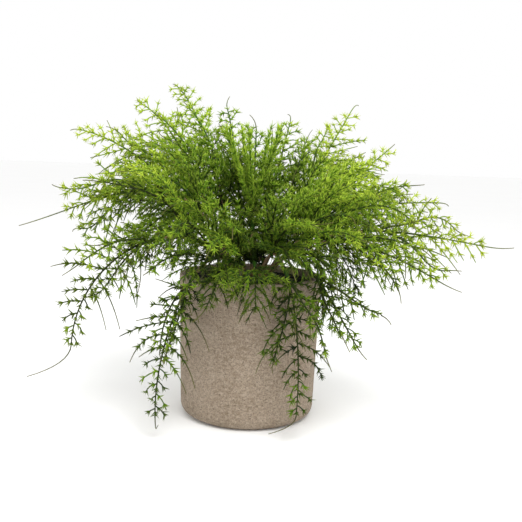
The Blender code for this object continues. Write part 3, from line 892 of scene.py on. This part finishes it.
def frond(
    moulding, line, style, twig_length, roll, luck, first=6 * MM, tail=14 * MM, kick=(0, 0, 0), shade=0.0
):
    """One leafy rib along a line, with twigs on both sides that shorten towards its end, and a bare tip.

    first: where the first twigs stand. tail: the length of the tip. kick: how it swings off its course.
    """
    far = measured(line)
    length = far[-1]
    along, level, up = tube_frame(line)
    s = np.linspace(0, 1, 9)[1:, None]
    swing = kick + luck.normal(0, 0.24, 3) + (0, 0, -0.08)
    end = moulding.room.keep(line[-1] + 0.92 * tail * (along[-1] * (s - 0.2 * s**2) + swing * s**2))
    tip_radii = style.rib * np.linspace(0.48, 0.30, len(end))
    radii = np.concatenate([style.rib * (1 - 0.5 * far / length), tip_radii])
    bare = np.concatenate([np.full(len(line), 0.12), np.linspace(0.3, 1.0, len(end))])
    add_tube(moulding, np.concatenate([line, end]), radii, rib_sides, shade - 0.40, bare)

    nodes = np.arange(first, length, style.twig_step)
    for count, node in enumerate(nodes):
        share = node / length
        turn = math.radians(roll + luck.uniform(-10, 10))
        for way in (1, -1):
            at = min(node + way * 0.1 * style.twig_step, length)
            root, rib_way, flat_way = (read_line(some, far, at) for some in (line, along, level))
            up_way = np.cross(flat_way, rib_way)
            out = way * (math.cos(turn) * flat_way + math.sin(turn) * up_way) + luck.normal(0, 0.09) * up_way
            lean = math.radians(style.angle * (1 - 0.2 * share) + luck.uniform(-8, 8))
            begin = unit(rib_way * math.cos(lean) + out * math.sin(lean))
            twig = twig_length * np.interp(share, twig_shares, style.twig_shape) * luck.uniform(0.8, 1.2)
            if (count + way) % 4 > 1:
                twig *= 1 - style.uneven
            t = np.linspace(0, 1, max(5, int(twig / (2.6 * MM))))
            bend = style.sweep * rib_way + style.droop * luck.uniform(0.3, 1.7) * np.array([0, 0, -1.0])
            curl = bend + luck.normal(0, 0.12, 3)
            twig_line = root + twig * (begin * t[:, None] + curl * t[:, None] ** 2.3)
            twig_line = moulding.room.keep(twig_line)
            tailed = twig > long_twig and luck.random() < 1.8 * style.tail
            leafy = 1 - style.tail * luck.uniform(0.6, 1.25) if tailed else 0.96
            twig_shade = shade + 0.08 * share + luck.normal(0, 0.09)
            thickness = style.twig * np.interp(t, [0, leafy, 1], [1, 0.85, 0.5])
            bare = np.interp(t, [0, leafy, 1], [0, 0.15, tailed])
            add_tube(moulding, twig_line, thickness, twig_sides, twig_shade - 0.16, bare)
            marks = np.arange(0.4 * style.step, leafy * twig, style.step)
            if not tailed:
                marks = np.append(marks[:-1], leafy * twig - 0.5 * MM)
            add_tufts(moulding, twig_line, marks, style, luck, 1.0, twig_shade)
    add_tufts(moulding, line, nodes[len(nodes) // 3 :] + 0.5 * style.twig_step, style, luck, 0.85, shade)


sleeve_sides = 10


def sleeve(moulding, route, start, end):
    """The socket that is pushed over the wire's end: a slim tapered tube."""
    outer = stem_radius + 0.45 * MM
    distance = np.linspace(start, end, 10)
    marks = [start, start + 1 * MM, 0.5 * (start + end), end]
    widths = outer * np.interp(distance, marks, [0.86, 1.0, 0.85, 0.5])
    add_tube(moulding, route.point(distance), widths, sleeve_sides, -0.12, np.zeros(len(distance)))


def sample(route, start, end):
    """Points along a route between two distances, about 3 mm apart."""
    return route.point(np.linspace(start, end, max(6, int((end - start) / (3 * MM)))))


def swerve(line, sideways, amount, wave=0.0):
    """Bends a line sideways, more towards its end, and puts one gentle wave in its height."""
    share = np.linspace(0, 1, len(line))[:, None]
    ripple = np.array([0, 0, wave]) * np.sin(2 * math.pi * share) * share
    return line + sideways * amount * share**1.5 + ripple


def arching(route, begin, rise, length, droop):
    """A line in the route's plane that leaves a place rising at one angle and ends falling at another."""
    first, last = heading(rise), heading(-droop)
    end = begin + 0.94 * length * unit(first + last)
    curve = Route(route.outward[:2], (begin, begin + first * length / 3, end - last * length / 3, end))
    return sample(curve, 0, curve.length)


def slope(route, distance):
    """The angle above the horizontal of a route, in degrees."""
    return math.degrees(math.atan2(*route.flat_direction(distance)[::-1]))


# What grows from a collar: the kind of rib, how much steeper than the middle one it rises, its share of
# that rib's length, how much more it droops, how far it swerves and how long its twigs are, in degrees and
# millimetres.
collar_ribs = (
    (coarse, 0, 1.00, 0, 0, 24),
    (coarse, 26, 0.86, -2, 10, 21),
    (coarse, -26, 0.78, 24, -10, 22),
    (fine, 46, 0.82, -16, -9, 18),
    (fine, -46, 0.62, 30, 8, 17),
    (fine, 68, 0.72, -40, 5, 16),
    (fine, -104, 0.60, 72, -6, 17),
    (fine, 90, 0.50, -70, -4, 14),
)
# The same for the ribs beside the main one of a tip spray, after where they start as a share of the run.
tip_ribs = (
    (0.04, 27, 0.56, 22, 12, 23),
    (0.10, -28, 0.50, 30, -12, 23),
)

# The long branches that hang beside the pot, and how strongly the bare tips of their ribs curl to the left.
curls = {11: 1.1, 12: 0.35, 15: 0.9}
# A branch that rises higher than this above the rim has the widest spray at its tip.
high_tip = 105
# On a hanging branch, collar ribs that would droop more than this are left out.
steepest_droop = 60

for number, branch in enumerate(branches, 1):
    name = f"{number:02d}"
    luck = np.random.default_rng(900 + number)
    route = stem_route(number)
    wedge = Wedge(number)
    moulding = Moulding(wedge)
    wire_end = branch.wire * route.length
    run = route.length - wire_end
    tail = branch.tail * MM
    hangs_long = number in curls
    style = hanging if hangs_long else coarse if branch.side else fine
    kick = curls.get(number, 0.0) * np.array([-1.0, -0.2, 0.1])
    if hangs_long:
        wedge.overlap = 22 * MM
    sleeve(moulding, route, wire_end - sleeve_length + 2 * MM, wire_end + 5 * MM)
    leafy_end = route.length - (4 * MM if hangs_long else tail)
    line = sample(route, wire_end + 1 * MM, leafy_end)
    if hangs_long or branch.tip > high_tip:
        widest = 36 * MM
    else:
        widest = 20 * MM if branch.hangs else 30 * MM
    # The long hanging sprays are painted 0.10 darker: painted shade beside the pot.
    frond(moulding, line, style, widest, branch.roll, luck, tail=tail, kick=kick, shade=-0.10 * hangs_long)
    for start, rise_more, share, droop_more, aside, twig_length in tip_ribs:
        if branch.hangs and not hangs_long:
            rise_more, droop_more = 0.4 * rise_more, -12
            share, aside, twig_length = 1.3 * share, 1.8 * aside, 16
        begin = wire_end + start * run
        steep = slope(route, begin)
        line = arching(route, route.flat(begin), steep + rise_more, share * run, droop_more - steep)
        line = wedge.keep(swerve(line, wedge.sideways, aside * MM, luck.uniform(-6, 6) * MM))
        frond(moulding, line, style, twig_length * MM, branch.roll + luck.uniform(-25, 25), luck)
    moulding.finish("tip_spray_" + name, "spray_" + name, "branch_" + name)
    if branch.side is None:
        continue
    moulding = Moulding(wedge)
    collar_at = collar_place(branch, route)
    sleeve(moulding, route, collar_at - collar_length / 2, collar_at + collar_length / 2)
    for style, rise_more, share, droop_more, aside, twig_length in collar_ribs:
        if branch.hangs and droop_more > steepest_droop:
            continue
        rise = branch.side.rise + rise_more + luck.uniform(-9, 9)
        droop = branch.side.droop + droop_more + luck.uniform(-18, 18)
        line = arching(route, route.flat(collar_at), rise, share * branch.side.length * MM, droop)
        line = wedge.keep(swerve(line, wedge.sideways, aside * MM, luck.uniform(-5, 5) * MM))
        shade = luck.normal(0, 0.10)
        frond(moulding, line, style, twig_length * MM, branch.roll + luck.uniform(-18, 18), luck, shade=shade)
    moulding.finish("side_spray_leaf_" + name, "side_spray_" + name, "branch_" + name)

# The middle spray: the turn of each rib in degrees, its share of the height, and how far aside it goes in
# millimetres. Tall ribs fan out over the middle, and short ones lie low round the wire.
tall_ribs = (
    (5, 1.0, 22), (60, 0.84, 26), (120, 0.92, 24), (175, 0.96, 26),
    (215, 0.80, 30), (260, 0.66, 30), (320, 0.84, 28),
)
low_ribs = (
    (0, 0.26, 44), (30, 0.34, 38), (60, 0.28, 44), (90, 0.36, 36), (120, 0.26, 44), (150, 0.34, 38),
    (180, 0.26, 44), (205, 0.32, 38), (230, 0.22, 44), (252, 0.28, 36), (275, 0.20, 42), (298, 0.28, 36),
    (320, 0.22, 44), (340, 0.32, 38),
)
luck = np.random.default_rng(990)
moulding = Moulding(Pillar())
wire_end = centre_wire * centre_route.length
sleeve(moulding, centre_route, wire_end - sleeve_length + 2 * MM, wire_end + 3 * MM)
for turn, tall, aside in tall_ribs + low_ribs:
    start = 0.07 * centre_route.length if tall < 0.5 else wire_end + 1 * MM
    line = sample(centre_route, start, min(centre_route.length * tall + start, centre_route.length) - 6 * MM)
    outwards = np.array([math.cos(math.radians(turn)), math.sin(math.radians(turn)), 0])
    line = moulding.room.keep(swerve(line, outwards, aside * MM))
    # The short low ribs are painted 0.20 darker: painted shade low in the middle of the bush.
    twig_length, shade = (18 * MM, 0.0) if tall > 0.5 else (16 * MM, -0.20)
    frond(moulding, line, fine, twig_length, turn, luck, first=3 * MM, tail=8 * MM, shade=shade)
moulding.finish("centre_spray_leaf", "spray_centre", "branch_centre")
